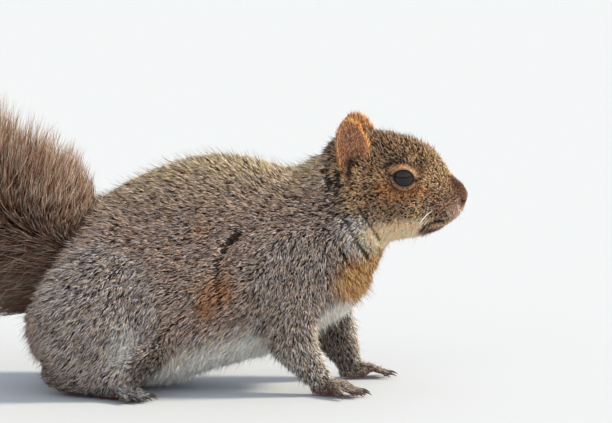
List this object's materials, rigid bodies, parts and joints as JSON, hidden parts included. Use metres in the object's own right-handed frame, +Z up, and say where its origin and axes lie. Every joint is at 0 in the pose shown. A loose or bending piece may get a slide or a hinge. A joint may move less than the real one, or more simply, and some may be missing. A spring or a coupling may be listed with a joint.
{
  "type": "grey squirrel, still life-size model",
  "caption": "Eastern grey squirrel standing on all four feet, head level, bushy tail raised behind; still museum-style model, life size.",
  "frame": {"origin": "centre of the bounding box in plan, at the level of the soles", "axes": "+X from tail to nose, +Y to the animal's left, +Z up"},
  "size_m": [0.3626, 0.116, 0.2221],
  "materials": {
    "body_fur": "grizzled brown and grey coat, dense and soft",
    "leg_fur": "short grizzled grey coat",
    "tail_fur": "long tan and dark hair with pale tips",
    "ear_fur": "thin rufous fur",
    "eye": "wet, nearly black",
    "nose_skin": "bare skin, slightly moist",
    "claw_horn": "dark horn, satin"
  },
  "bodies": {
    "root": {"claw_fore_left_1": "claw_horn", "claw_fore_left_2": "claw_horn", "claw_fore_left_3": "claw_horn", "claw_fore_left_4": "claw_horn", "claw_fore_right_1": "claw_horn", "claw_fore_right_2": "claw_horn", "claw_fore_right_3": "claw_horn", "claw_fore_right_4": "claw_horn", "claw_hind_left_1": "claw_horn", "claw_hind_left_2": "claw_horn", "claw_hind_left_3": "claw_horn", "claw_hind_left_4": "claw_horn", "claw_hind_left_5": "claw_horn", "claw_hind_right_1": "claw_horn", "claw_hind_right_2": "claw_horn", "claw_hind_right_3": "claw_horn", "claw_hind_right_4": "claw_horn", "claw_hind_right_5": "claw_horn", "ear_left": "ear_fur", "ear_right": "ear_fur", "eye_left": "eye", "eye_right": "eye", "forearm_left": "leg_fur", "forearm_right": "leg_fur", "forefoot_left": "leg_fur", "forefoot_right": "leg_fur", "head": "body_fur", "hindfoot_left": "leg_fur", "hindfoot_right": "leg_fur", "neck": "body_fur", "nose": "nose_skin", "shank_left": "leg_fur", "shank_right": "leg_fur", "tail_1": "tail_fur", "tail_2": "tail_fur", "tail_3": "tail_fur", "tail_4": "tail_fur", "thigh_left": "leg_fur", "thigh_right": "leg_fur", "trunk": "body_fur", "upper_arm_left": "leg_fur", "upper_arm_right": "leg_fur"}
  },
  "joints": []
}
